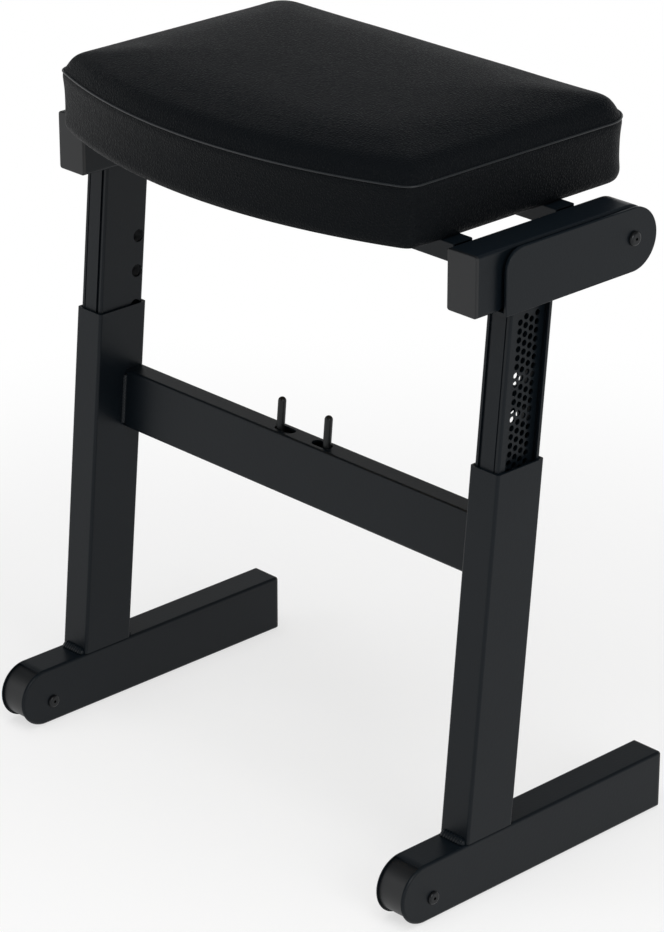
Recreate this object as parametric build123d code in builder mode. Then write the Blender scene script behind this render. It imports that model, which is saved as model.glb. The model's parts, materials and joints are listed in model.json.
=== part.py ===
# Keyboard player's bench: two T-shaped legs on tube feet, a crossbar with two squeeze pegs,
# telescopic inner legs locked by sprung rods, and a padded seat that tips up on rear pivots.
# Millimetres. X runs along the crossbar, Y to the back, Z up from the floor.
from build123d import *
import os
from math import cos, pi, radians, sin, sqrt, tan

os.makedirs("parts", exist_ok=True)

# Stance
leg_spacing = 455.0          # between the centres of the two legs
lean_angle = 5.0             # the legs lean back by this many degrees
leg_front_y = -76.75         # front face of a leg where it meets its foot
sides = (("left", -1), ("right", 1))

# Steel tubes
tube_wall = 2.0
tube_corner = 2.5
foot_width = 30.0
foot_height = 50.0
foot_front_y = -146.75
foot_rear_y = 146.75
foot_mouth = 20.0            # length of the open nose between the foot's cheeks
leg_width = 30.0
leg_depth = 50.0
leg_top_z = 352.5
bar_depth = 20.0
bar_height = 50.0
bar_drop = 55.0              # crossbar's top below the top of the outer legs
bar_rear_inset = 0.0         # crossbar's rear face inside the legs' rear faces

# Plastic plugs and caps
plug_length = 52.0
plug_wall = 4.0
cap_flange = 2.5
cap_tongue = 16.0
cap_wall = 3.0
snug = 0.1                   # clearance of a part that is pushed into a tube

# Foot rivets
rivet_r = 2.5
rivet_setback = 33.0         # behind the tip of the foot
rivet_z = 19.0
rivet_head_r = 5.5
rivet_head_height = 2.4
rivet_eye_r = 1.3
rivet_eye_depth = 6.0
head_round = 0.8             # share of a rivet head's height that is rounded

# Welds
foot_weld = 5.0
bar_weld = 3.0
weld_inset = 2.0

# Telescopic inner legs
leg_clearance = 0.5          # inner leg to outer leg, on each side
inner_wall = 2.0
inner_front_wall = 3.0
inner_front_lip = 7.0
inner_rear_lip = 4.0
inner_corner = 2.0
inner_overlap = 162.5        # length of inner leg inside the outer leg at rest
inner_reach = 124.5          # length of inner leg above the outer leg at rest
deep_groove_width = 3.0
deep_groove_depth = 1.4
deep_groove_at = 5.0         # from the inner edge of the front face
fine_groove_width = 1.2
fine_groove_depth = 0.7
fine_groove_at = 4.5         # from the outer edge of the front face
glide_height = 8.0
glide_tongue = 20.0
slide_gap = 0.3              # plastic glide to tube wall

# Height lock
lock_top_gap = 0.3           # lock nose to the crossbar's top wall
lock_rear_gap = 0.5          # lock nose to the inner leg's rear wall
lock_pitch = 30.2
lock_holes_up = 4
lock_holes_down = 2
lock_hole_gap = 0.4
nose_r = 5.0
nose_length = 41.0
nose_reach = 1.5             # past the inner wall of the inner leg
nose_chamfer = 1.0
shank_r = 3.6
peg_r = 3.4
peg_rise = 26.0              # above the crossbar
peg_middle_x = -6.0
peg_half_spacing = 27.0
peg_travel = 11.0
slot_margin = 1.5
bush_length = 20.0
bush_gap = 0.1
spring_length = 50.0
spring_wire_r = 0.5
spring_gap = 0.4             # shank to spring
spring_turns = 9
arcs_per_turn = 4
coil_samples = 24            # points on each turn when the gap is measured
spring_seat_thickness = 3.0

# Perforated strips
strip_thickness = 1.5
strip_recess = 6.0           # behind the open side of the inner leg
strip_top_gap = 4.0
strip_hole_r = 2.5
strip_row_pitch = 6.9
strip_column_pitch = 6.0
strip_columns = 5
strip_margin = 5.0

# Seat brackets and pivots
bracket_thickness = 2.5
bracket_front_y = -44.75
bracket_corner_r = 17.0
bracket_edge_r = 0.8         # rounding of the cheek's outer edge
cheek_gap = 4.0              # between rail and bracket cheek
web_margin = 7.0             # of the web behind the inner leg
web_lap = 2.0                # of the web inside the inner leg
pivot_y = 92.75
pivot_r = 4.0
pivot_gap = 0.08
pivot_head_r = 6.0
pivot_head_height = 3.0
pivot_tail_height = 2.0
spacer_r = 9.0
rest_gap = 0.3               # between parts that move past each other

# Seat frame
rail_width = 30.0
rail_height = 48.5
rail_inset = 7.0             # rail's middle inside the leg's middle
rail_front_y = -70.0
cross_height = 16.0
cross_wall = 1.5
cross_above_rail = 1.7
front_cross_depth = 20.0
front_cross_y = -53.75
mid_cross_depth = 20.0
mid_cross_y = 55.0

# Seat
seat_side_gap = 7.0          # from the seat's side to the rail's inner face
seat_middle_y = 2.9
seat_depth = 286.0
seat_bow = 41.0
seat_front_r = 15.0
seat_rear_r = 32.0
band_height = 48.0
band_profile = ((0.0, 4.0), (0.10, 1.0), (0.5, 0.0), (0.92, 0.6))  # share of its height, drawn in
crown_height = 25.0
crown_sharpness = 8          # a high value keeps the top flat and rounds it off near the seam
crown_scales = (1.0, 0.98, 0.95, 0.91, 0.85, 0.76, 0.62, 0.40)
seam_draw = 2.0              # the seam lies inside the fullest part of the band
board_thickness = 12.0
board_inset = 8.0
screw_r = 2.3
screw_head_r = 5.0
screw_head_height = 3.0
screw_bite = 9.0
screw_x = 150.0

# Derived heights and places
lean = tan(radians(lean_angle))
lean_axis = Vector(0, sin(radians(lean_angle)), cos(radians(lean_angle)))
leg_x = leg_spacing / 2
nose_y = foot_front_y + foot_height / 2
rivet_y = foot_front_y + rivet_setback
inner_width = leg_width - 2 * tube_wall - 2 * leg_clearance
inner_depth = leg_depth - 2 * tube_wall - 2 * leg_clearance
inner_bottom_z = leg_top_z - inner_overlap
bar_top_z = leg_top_z - bar_drop
web_bottom_z = leg_top_z + inner_reach
web_top_z = web_bottom_z + bracket_thickness
rail_bottom_z = web_top_z + rest_gap
rail_top_z = rail_bottom_z + rail_height
pivot_z = rail_bottom_z + rail_height / 2
pivot_round_r = rail_height / 2
cheek_height = rail_top_z - web_bottom_z
cheek_z = web_bottom_z + cheek_height / 2
rail_centre_x = leg_x - rail_inset
rail_outer_x = rail_centre_x + rail_width / 2
rail_inner_x = rail_centre_x - rail_width / 2
bracket_outer_x = rail_outer_x + cheek_gap + bracket_thickness
web_inner_x = leg_x - inner_width / 2 - web_lap
seat_width = 2 * (rail_inner_x - seat_side_gap)
seat_bottom_z = rail_top_z + cross_above_rail
seam_z = seat_bottom_z + band_height
cross_bottom_z = seat_bottom_z - cross_height
bar_half = (leg_spacing - leg_width) / 2
bar_setback = leg_depth - bar_depth - bar_rear_inset
inner_front = (leg_depth - inner_depth) / 2
lock_z = bar_top_z - tube_wall - lock_top_gap - nose_r
lock_setback = inner_front + inner_depth - inner_wall - lock_rear_gap - nose_r
lock_hole_r = nose_r + lock_hole_gap
spring_mean_r = shank_r + spring_gap + spring_wire_r
board_front_r = seat_front_r - board_inset
board_rear_r = seat_rear_r - board_inset


def leg_y(z):
    """Y of the legs' front faces at height z."""
    return leg_front_y + lean * (z - foot_height)


def lean_points(front, rear, low, high):
    """Corners, in Y and Z, of a strip between two setbacks from the leg's front face."""
    return (
        (leg_y(low) + front, low),
        (leg_y(low) + rear, low),
        (leg_y(high) + rear, high),
        (leg_y(high) + front, high),
    )


def lean_length(low, high):
    """Length along the leaning leg between two heights."""
    return (high - low) / lean_axis.Z


def bar_corners(inset):
    """Corners of the crossbar's leaning section, drawn in by so much."""
    return lean_points(
        bar_setback + inset,
        bar_setback + bar_depth - inset,
        bar_top_z - bar_height + inset,
        bar_top_z - inset,
    )


lock_y = leg_y(lock_z) + lock_setback
strip_outer_x = leg_x + inner_width / 2 - strip_recess
web_rear_y = leg_y(web_bottom_z) + inner_front + inner_depth + web_margin
nose_tip_x = leg_x - inner_width / 2 + inner_wall + nose_reach
nose_back_x = nose_tip_x - nose_length
spring_seat_x = nose_back_x - spring_length
coil_start = spring_seat_x + spring_wire_r
coil_length = spring_length - 2 * spring_wire_r
turn_rise = coil_length / spring_turns


def coil_point(turns):
    """Point of the lock spring's centre line after so many turns."""
    angle = 2 * pi * turns
    return Vector(
        coil_start + turns * turn_rise,
        lock_y + spring_mean_r * cos(angle),
        lock_z + spring_mean_r * sin(angle),
    )


def coil_tangent(turns):
    """Unit direction of the lock spring's centre line after so many turns."""
    angle = 2 * pi * turns
    return Vector(
        turn_rise / (2 * pi),
        -spring_mean_r * sin(angle),
        spring_mean_r * cos(angle),
    ).normalized()


# Feet: rectangular tubes with a rounded nose, opened between the cheeks
def foot_section(inset, rear_y):
    """Side view of a foot: a bar with a half-round nose, inset by so much."""
    with Locations(((nose_y + rear_y) / 2, foot_height / 2)):
        Rectangle(rear_y - nose_y, foot_height - 2 * inset)
    with Locations((nose_y, foot_height / 2)):
        Circle(foot_height / 2 - inset)


foot_tube_rear_y = foot_rear_y - cap_flange
for side, sign in sides:
    with BuildPart() as foot:
        with BuildSketch(Plane.YZ.offset(leg_x - foot_width / 2)):
            foot_section(0, foot_tube_rear_y)
        extrude(amount=foot_width)
        outline = foot.faces().filter_by(Axis.X).edges()
        ends = foot.faces().sort_by(Axis.Y)[-1].edges()
        fillet([edge for edge in outline if edge not in ends], tube_corner)
        with BuildSketch(Plane.YZ.offset(leg_x - foot_width / 2 + tube_wall)):
            foot_section(tube_wall, foot_tube_rear_y)
        extrude(amount=foot_width - 2 * tube_wall, mode=Mode.SUBTRACT)
        with Locations((leg_x, foot_front_y, foot_height / 2)):
            Box(foot_width - 2 * tube_wall, 2 * foot_mouth, foot_height, mode=Mode.SUBTRACT)
        with BuildSketch(Plane.YZ.offset(leg_x - foot_width / 2)):
            with Locations((rivet_y, rivet_z)):
                Circle(rivet_r + snug)
        extrude(amount=foot_width, mode=Mode.SUBTRACT)
        if sign < 0:
            mirror(about=Plane.YZ, mode=Mode.REPLACE)
    foot.part.label = f"{side}_foot"
    export_step(foot.part, f"parts/{side}_foot.step")

    # Round-nosed plug between the cheeks, hollow from behind
    with BuildPart() as plug:
        with BuildSketch(Plane.YZ.offset(leg_x - foot_width / 2 + tube_wall + snug)):
            foot_section(tube_wall + snug, nose_y + plug_length)
        extrude(amount=foot_width - 2 * tube_wall - 2 * snug)
        with BuildSketch(Plane.XZ.offset(-(nose_y + plug_length))):
            with Locations((leg_x, foot_height / 2)):
                Rectangle(
                    foot_width - 2 * tube_wall - 2 * plug_wall,
                    foot_height - 2 * tube_wall - 2 * plug_wall,
                )
        extrude(amount=nose_y + plug_length - rivet_y - 2 * rivet_head_r, mode=Mode.SUBTRACT)
        with BuildSketch(Plane.YZ.offset(leg_x - foot_width / 2)):
            with Locations((rivet_y, rivet_z)):
                Circle(rivet_r + snug)
        extrude(amount=foot_width, mode=Mode.SUBTRACT)
        if sign < 0:
            mirror(about=Plane.YZ, mode=Mode.REPLACE)
    plug.part.label = f"{side}_foot_plug"
    export_step(plug.part, f"parts/{side}_foot_plug.step")

    # Rivet through the cheeks and the plug
    with BuildPart() as rivet:
        with BuildSketch(Plane.YZ.offset(leg_x - foot_width / 2)):
            with Locations((rivet_y, rivet_z)):
                Circle(rivet_r)
        extrude(amount=foot_width)
        for face_x, out in ((leg_x + foot_width / 2, 1), (leg_x - foot_width / 2, -1)):
            with BuildSketch(Plane.YZ.offset(face_x)):
                with Locations((rivet_y, rivet_z)):
                    Circle(rivet_head_r)
            extrude(amount=out * rivet_head_height)
        rims = rivet.faces().sort_by(Axis.X)
        fillet(rims[-1].edges() + rims[0].edges(), rivet_head_height * head_round)
        with BuildSketch(Plane.YZ.offset(leg_x + foot_width / 2 + rivet_head_height)):
            with Locations((rivet_y, rivet_z)):
                Circle(rivet_eye_r)
        extrude(amount=-rivet_eye_depth, mode=Mode.SUBTRACT)
    rivet_shift = Location((leg_x * (sign - 1), 0, 0))
    foot_rivet = rivet.part.moved(rivet_shift)
    foot_rivet.label = f"{side}_foot_rivet"
    export_step(foot_rivet, f"parts/{side}_foot_rivet.step")

    # Square cap in the rear end of the foot
    with BuildPart() as end_cap:
        with BuildSketch(Plane.XZ.offset(-foot_tube_rear_y)):
            with Locations((sign * leg_x, foot_height / 2)):
                RectangleRounded(foot_width, foot_height, tube_corner)
        extrude(amount=-cap_flange)
        fillet(end_cap.faces().sort_by(Axis.Y)[-1].edges(), cap_flange / 2)
        with BuildSketch(Plane.XZ.offset(-foot_tube_rear_y)):
            with Locations((sign * leg_x, foot_height / 2)):
                Rectangle(foot_width - 2 * tube_wall - 2 * snug, foot_height - 2 * tube_wall - 2 * snug)
                Rectangle(
                    foot_width - 2 * tube_wall - 2 * cap_wall,
                    foot_height - 2 * tube_wall - 2 * cap_wall,
                    mode=Mode.SUBTRACT,
                )
        extrude(amount=cap_tongue)
    end_cap.part.label = f"{side}_foot_end_cap"
    export_step(end_cap.part, f"parts/{side}_foot_end_cap.step")

    # Outer leg: a leaning tube with a window for the lock rod in its inner wall
    with BuildPart() as leg:
        with BuildSketch(Plane.XY.offset(foot_height)):
            with Locations((leg_x, leg_front_y + leg_depth / 2)):
                RectangleRounded(leg_width, leg_depth, tube_corner)
                Rectangle(leg_width - 2 * tube_wall, leg_depth - 2 * tube_wall, mode=Mode.SUBTRACT)
        extrude(amount=lean_length(foot_height, leg_top_z), dir=lean_axis)
        with BuildSketch(Plane.YZ.offset(leg_x - leg_width / 2)):
            with Locations((lock_y, lock_z)):
                Circle(lock_hole_r)
        extrude(amount=tube_wall, mode=Mode.SUBTRACT)
        if sign < 0:
            mirror(about=Plane.YZ, mode=Mode.REPLACE)
    leg.part.label = f"{side}_outer_leg"
    export_step(leg.part, f"parts/{side}_outer_leg.step")

    # Inner leg: a lipped channel, open outwards, grooved down its front
    with BuildPart() as inner_leg:
        with BuildSketch(Plane.XY.offset(inner_bottom_z)):
            with Locations((leg_x, leg_y(inner_bottom_z) + leg_depth / 2)):
                RectangleRounded(inner_width, inner_depth, inner_corner)
            inner_y = leg_y(inner_bottom_z) + inner_front
            cavity_depth = inner_depth - inner_front_wall - inner_wall
            with Locations((leg_x, inner_y + inner_front_wall + cavity_depth / 2)):
                Rectangle(inner_width - 2 * inner_wall, cavity_depth, mode=Mode.SUBTRACT)
            mouth = cavity_depth - (inner_front_lip - inner_front_wall) - (inner_rear_lip - inner_wall)
            with Locations((leg_x + inner_width / 2, inner_y + inner_front_lip + mouth / 2)):
                Rectangle(2 * inner_wall, mouth, mode=Mode.SUBTRACT)
            with Locations((leg_x - inner_width / 2 + deep_groove_at, inner_y)):
                Rectangle(deep_groove_width, 2 * deep_groove_depth, mode=Mode.SUBTRACT)
            with Locations((leg_x + inner_width / 2 - fine_groove_at, inner_y)):
                Rectangle(fine_groove_width, 2 * fine_groove_depth, mode=Mode.SUBTRACT)
        extrude(amount=lean_length(inner_bottom_z, web_bottom_z), dir=lean_axis)
        with BuildSketch(Plane.YZ.offset(leg_x - inner_width / 2)):
            for step in range(-lock_holes_down, lock_holes_up + 1):
                along = step * lock_pitch
                with Locations((lock_y + along * lean_axis.Y, lock_z + along * lean_axis.Z)):
                    Circle(lock_hole_r)
        extrude(amount=inner_wall, mode=Mode.SUBTRACT)
        if sign < 0:
            mirror(about=Plane.YZ, mode=Mode.REPLACE)
    inner_leg.part.label = f"{side}_inner_leg"
    export_step(inner_leg.part, f"parts/{side}_inner_leg.step")

    # Perforated strip inside the channel
    strip_front = inner_front + inner_front_wall + snug
    strip_rear = inner_front + inner_depth - inner_wall - snug
    strip_low = inner_bottom_z + glide_tongue
    strip_high = web_bottom_z - strip_top_gap
    strip_rows = int((lean_length(strip_low, strip_high) - 2 * strip_margin) / strip_row_pitch)
    with BuildPart() as strip:
        with BuildSketch(Plane.YZ.offset(strip_outer_x - strip_thickness)):
            Polygon(*lean_points(strip_front, strip_rear, strip_low, strip_high), align=None)
            for column in range(strip_columns):
                stagger = strip_row_pitch / 2 * (column % 2)
                setback = (strip_front + strip_rear) / 2
                setback += (column - (strip_columns - 1) / 2) * strip_column_pitch
                for row in range(strip_rows):
                    drop = strip_margin + stagger + row * strip_row_pitch
                    hole_z = strip_high - drop * lean_axis.Z
                    with Locations((leg_y(hole_z) + setback, hole_z)):
                        Circle(strip_hole_r, mode=Mode.SUBTRACT)
        extrude(amount=strip_thickness)
        if sign < 0:
            mirror(about=Plane.YZ, mode=Mode.REPLACE)
    strip.part.label = f"{side}_perforated_strip"
    export_step(strip.part, f"parts/{side}_perforated_strip.step")

    # Plastic glide on the foot of the inner leg
    glide_y = leg_y(inner_bottom_z) + leg_depth / 2
    with BuildPart() as glide:
        with BuildSketch(Plane.XY.offset(inner_bottom_z)):
            with Locations((sign * leg_x, glide_y)):
                Rectangle(
                    leg_width - 2 * tube_wall - 2 * slide_gap,
                    leg_depth - 2 * tube_wall - 2 * slide_gap,
                )
        extrude(amount=-lean_length(0, glide_height), dir=lean_axis)
        with BuildSketch(Plane.XY.offset(inner_bottom_z)):
            tongue_shift = (inner_front_wall - inner_wall) / 2
            with Locations((sign * leg_x, glide_y + tongue_shift)):
                Rectangle(
                    inner_width - 2 * inner_wall - 2 * snug,
                    inner_depth - inner_front_wall - inner_wall - 2 * snug,
                )
        extrude(amount=lean_length(0, glide_tongue), dir=lean_axis)
    glide.part.label = f"{side}_inner_leg_glide"
    export_step(glide.part, f"parts/{side}_inner_leg_glide.step")

    # Lock rod: a turned nose, a shank along the crossbar and a round-topped peg
    peg_x = peg_half_spacing + sign * peg_middle_x
    peg_plane = Plane(origin=(peg_x, lock_y, lock_z), x_dir=(1, 0, 0), z_dir=lean_axis)
    peg_length = lean_length(lock_z, bar_top_z + peg_rise) - peg_r
    with BuildPart() as lock_rod:
        with BuildSketch(Plane.YZ.offset(nose_back_x)):
            with Locations((lock_y, lock_z)):
                Circle(nose_r)
        extrude(amount=nose_length)
        chamfer(lock_rod.faces().sort_by(Axis.X)[-1].edges(), nose_chamfer)
        with BuildSketch(Plane.YZ.offset(peg_x)):
            with Locations((lock_y, lock_z)):
                Circle(shank_r)
        extrude(amount=nose_back_x - peg_x)
        with Locations((peg_x, lock_y, lock_z)):
            Sphere(shank_r)
        with BuildSketch(peg_plane):
            Circle(peg_r)
        extrude(amount=peg_length)
        with Locations(peg_plane.offset(peg_length).origin):
            Sphere(peg_r)
        if sign < 0:
            mirror(about=Plane.YZ, mode=Mode.REPLACE)
    lock_rod.part.label = f"{side}_lock_rod"
    export_step(lock_rod.part, f"parts/{side}_lock_rod.step")

    # Plastic bush that guides the nose in the end of the crossbar
    with BuildPart() as bush:
        with BuildSketch(Plane.YZ.offset(bar_half - bush_length)):
            Polygon(*bar_corners(tube_wall + snug), align=None)
            with Locations((lock_y, lock_z)):
                Circle(nose_r + bush_gap, mode=Mode.SUBTRACT)
        extrude(amount=bush_length)
        if sign < 0:
            mirror(about=Plane.YZ, mode=Mode.REPLACE)
    bush.part.label = f"{side}_rod_bush"
    export_step(bush.part, f"parts/{side}_rod_bush.step")

    # Steel plate in the crossbar that the spring pushes against
    with BuildPart() as spring_seat:
        with BuildSketch(Plane.YZ.offset(spring_seat_x - spring_seat_thickness)):
            Polygon(*bar_corners(tube_wall + snug), align=None)
            with Locations((lock_y, lock_z)):
                Circle(shank_r + bush_gap, mode=Mode.SUBTRACT)
        extrude(amount=spring_seat_thickness)
        if sign < 0:
            mirror(about=Plane.YZ, mode=Mode.REPLACE)
    spring_seat.part.label = f"{side}_spring_seat"
    export_step(spring_seat.part, f"parts/{side}_spring_seat.step")

    # Lock spring: an open coil round the shank, each quarter turn drawn as two tangent arcs
    with BuildPart() as lock_spring:
        with BuildLine():
            for count in range(arcs_per_turn * spring_turns):
                start = coil_point(count / arcs_per_turn)
                end = coil_point((count + 1) / arcs_per_turn)
                start_dir = coil_tangent(count / arcs_per_turn)
                end_dir = coil_tangent((count + 1) / arcs_per_turn)
                span = end - start
                both = start_dir + end_dir
                square = 4 - both.dot(both)
                half = span.dot(both)
                reach = (sqrt(half * half + square * span.dot(span)) - half) / square
                first = start + start_dir * reach
                second = end - end_dir * reach
                middle = (first + second) / 2
                TangentArc(start, middle, tangent=start_dir)
                TangentArc(middle, end, tangent=second - first)
        with BuildSketch(Plane(origin=coil_point(0), z_dir=coil_tangent(0))):
            Circle(spring_wire_r)
        sweep()
        if sign < 0:
            mirror(about=Plane.YZ, mode=Mode.REPLACE)
    lock_spring.part.label = f"{side}_lock_spring"
    export_step(lock_spring.part, f"parts/{side}_lock_spring.step")

    # Seat bracket: a cheek outside the rail, folded to a web under it
    with BuildPart() as bracket:
        with BuildSketch(Plane.YZ.offset(bracket_outer_x - bracket_thickness)):
            with Locations(((bracket_front_y + pivot_y) / 2, cheek_z)):
                Rectangle(pivot_y - bracket_front_y, cheek_height)
            with Locations((pivot_y, cheek_z)):
                Circle(cheek_height / 2)
        extrude(amount=bracket_thickness)
        upright = bracket.edges().filter_by(Axis.X)
        fillet(upright.sort_by(Axis.Y)[:2].sort_by(Axis.Z)[-1], bracket_corner_r)
        fillet(bracket.faces().sort_by(Axis.X)[-1].edges(), bracket_edge_r)
        web_mid_x = (web_inner_x + bracket_outer_x - bracket_thickness) / 2
        web_width = bracket_outer_x - bracket_thickness - web_inner_x
        with Locations((web_mid_x, (bracket_front_y + web_rear_y) / 2, web_bottom_z + bracket_thickness / 2)):
            Box(web_width, web_rear_y - bracket_front_y, bracket_thickness)
        with BuildSketch(Plane.YZ.offset(bracket_outer_x - bracket_thickness)):
            with Locations((pivot_y, pivot_z)):
                Circle(pivot_r + snug)
        extrude(amount=bracket_thickness, mode=Mode.SUBTRACT)
        if sign < 0:
            mirror(about=Plane.YZ, mode=Mode.REPLACE)
    bracket.part.label = f"{side}_seat_bracket"
    export_step(bracket.part, f"parts/{side}_seat_bracket.step")

    # Pivot rivet at the rear of the bracket
    tail_face_x = rail_outer_x - tube_wall - rest_gap
    with BuildPart() as pivot:
        with BuildSketch(Plane.YZ.offset(tail_face_x)):
            with Locations((pivot_y, pivot_z)):
                Circle(pivot_r)
        extrude(amount=bracket_outer_x - tail_face_x)
        with BuildSketch(Plane.YZ.offset(tail_face_x - pivot_tail_height)):
            with Locations((pivot_y, pivot_z)):
                Circle(pivot_head_r)
        extrude(amount=pivot_tail_height)
        with BuildSketch(Plane.YZ.offset(bracket_outer_x)):
            with Locations((pivot_y, pivot_z)):
                Circle(pivot_head_r)
        extrude(amount=pivot_head_height)
        fillet(pivot.faces().sort_by(Axis.X)[-1].edges(), pivot_head_height * head_round)
        with BuildSketch(Plane.YZ.offset(bracket_outer_x + pivot_head_height)):
            with Locations((pivot_y, pivot_z)):
                Circle(rivet_eye_r)
        extrude(amount=-rivet_eye_depth, mode=Mode.SUBTRACT)
        if sign < 0:
            mirror(about=Plane.YZ, mode=Mode.REPLACE)
    pivot.part.label = f"{side}_pivot_rivet"
    export_step(pivot.part, f"parts/{side}_pivot_rivet.step")

    # Plastic spacer that keeps the rail off the cheek
    with BuildPart() as spacer:
        with BuildSketch(Plane.YZ.offset(rail_outer_x + rest_gap)):
            with Locations((pivot_y, pivot_z)):
                Circle(spacer_r)
                Circle(pivot_r + snug, mode=Mode.SUBTRACT)
        extrude(amount=bracket_outer_x - bracket_thickness - rail_outer_x - rest_gap)
        if sign < 0:
            mirror(about=Plane.YZ, mode=Mode.REPLACE)
    spacer.part.label = f"{side}_pivot_spacer"
    export_step(spacer.part, f"parts/{side}_pivot_spacer.step")

    # Seat rail: a box tube, rounded at the pivot end
    rail_tube_front_y = rail_front_y + cap_flange
    with BuildPart() as rail:
        for inset, cut in ((0, Mode.ADD), (tube_wall, Mode.SUBTRACT)):
            with BuildSketch(Plane.YZ.offset(rail_inner_x + inset)):
                with Locations(((rail_tube_front_y + pivot_y) / 2, pivot_z)):
                    Rectangle(pivot_y - rail_tube_front_y, rail_height - 2 * inset)
                with Locations((pivot_y, pivot_z)):
                    Circle(pivot_round_r - inset)
            extrude(amount=rail_width - 2 * inset, mode=cut)
            if inset == 0:
                outline = rail.faces().filter_by(Axis.X).edges()
                ends = rail.faces().sort_by(Axis.Y)[0].edges()
                fillet([edge for edge in outline if edge not in ends], tube_corner)
        with BuildSketch(Plane.YZ.offset(rail_outer_x - tube_wall)):
            with Locations((pivot_y, pivot_z)):
                Circle(pivot_r + pivot_gap)
        extrude(amount=tube_wall, mode=Mode.SUBTRACT)
        if sign < 0:
            mirror(about=Plane.YZ, mode=Mode.REPLACE)
    rail.part.label = f"{side}_seat_rail"
    export_step(rail.part, f"parts/{side}_seat_rail.step")

    # Cap in the front end of the rail
    with BuildPart() as rail_cap:
        with BuildSketch(Plane.XZ.offset(-rail_tube_front_y)):
            with Locations((sign * rail_centre_x, pivot_z)):
                RectangleRounded(rail_width, rail_height, tube_corner)
        extrude(amount=cap_flange)
        fillet(rail_cap.faces().sort_by(Axis.Y)[0].edges(), cap_flange / 2)
        with BuildSketch(Plane.XZ.offset(-rail_tube_front_y)):
            with Locations((sign * rail_centre_x, pivot_z)):
                Rectangle(rail_width - 2 * tube_wall - 2 * snug, rail_height - 2 * tube_wall - 2 * snug)
                Rectangle(
                    rail_width - 2 * tube_wall - 2 * cap_wall,
                    rail_height - 2 * tube_wall - 2 * cap_wall,
                    mode=Mode.SUBTRACT,
                )
        extrude(amount=-cap_tongue)
    rail_cap.part.label = f"{side}_rail_cap"
    export_step(rail_cap.part, f"parts/{side}_rail_cap.step")

# Crossbar with a slot for each peg in its top wall
with BuildPart() as crossbar:
    with BuildSketch(Plane.YZ.offset(-bar_half)) as bar_end:
        Polygon(*bar_corners(0), align=None)
        fillet(bar_end.vertices(), tube_corner)
        Polygon(*bar_corners(tube_wall), align=None, mode=Mode.SUBTRACT)
    extrude(amount=2 * bar_half)
    slot_length = peg_travel + 2 * peg_r + 2 * slot_margin
    slot_width = 2 * peg_r + 2 * slot_margin
    slot_y = leg_y(bar_top_z) + lock_setback
    with BuildSketch(Plane.XY.offset(bar_top_z)):
        for side, sign in sides:
            slot_x = peg_middle_x + sign * (peg_half_spacing - peg_travel / 2)
            with Locations((slot_x, slot_y)):
                SlotOverall(slot_length, slot_width)
    extrude(amount=-2 * tube_wall, mode=Mode.SUBTRACT)
crossbar.part.label = "crossbar"
export_step(crossbar.part, "parts/crossbar.step")

# Fillet welds between legs and feet, front and rear
with BuildPart() as foot_welds:
    for side, sign in sides:
        with BuildSketch(Plane.YZ.offset(sign * leg_x - leg_width / 2 + weld_inset)):
            for edge_y, out in ((leg_front_y, -1), (leg_front_y + leg_depth, 1)):
                top_y = edge_y + lean * foot_weld
                Polygon(
                    (edge_y, foot_height),
                    (edge_y + out * foot_weld, foot_height),
                    (top_y, foot_height + foot_weld),
                    align=None,
                )
        extrude(amount=leg_width - 2 * weld_inset)
foot_welds.part.label = "foot_welds"
export_step(foot_welds.part, "parts/foot_welds.step")

# Fillet welds up the front of each crossbar end
with BuildPart() as crossbar_welds:
    for side, sign in sides:
        low = bar_top_z - bar_height + bar_weld
        high = bar_top_z - bar_weld
        with BuildSketch(Plane.XY.offset(low)):
            bead_y = leg_y(low) + bar_setback
            Polygon(
                (sign * bar_half, bead_y),
                (sign * (bar_half - bar_weld), bead_y),
                (sign * bar_half, bead_y - bar_weld),
                align=None,
            )
        extrude(amount=lean_length(low, high), dir=lean_axis)
crossbar_welds.part.label = "crossbar_welds"
export_step(crossbar_welds.part, "parts/crossbar_welds.step")

# Two tubes across the rails carry the seat
cross_tubes = (
    ("front_cross_tube", front_cross_y, front_cross_depth),
    ("middle_cross_tube", mid_cross_y, mid_cross_depth),
)
for name, middle_y, depth in cross_tubes:
    with BuildPart() as cross_tube:
        with BuildSketch(Plane.YZ.offset(-rail_inner_x)):
            with Locations((middle_y, cross_bottom_z + cross_height / 2)):
                RectangleRounded(depth, cross_height, cross_wall)
                Rectangle(depth - 2 * cross_wall, cross_height - 2 * cross_wall, mode=Mode.SUBTRACT)
        extrude(amount=2 * rail_inner_x)
        with BuildSketch(Plane.XY.offset(cross_bottom_z)):
            with Locations((-screw_x, middle_y), (screw_x, middle_y)):
                Circle(screw_r + snug)
        extrude(amount=cross_height, mode=Mode.SUBTRACT)
    cross_tube.part.label = name
    export_step(cross_tube.part, f"parts/{name}.step")


def seat_corners(inset, scale):
    """Half width, bowed front, corner front and rear of the plan about its middle, drawn in and scaled."""
    half_x = scale * (seat_width / 2 - inset)
    bow_y = scale * (inset - seat_depth / 2)
    rear_y = scale * (seat_depth / 2 - inset)
    return half_x, bow_y, bow_y + scale * seat_bow, rear_y


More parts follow.
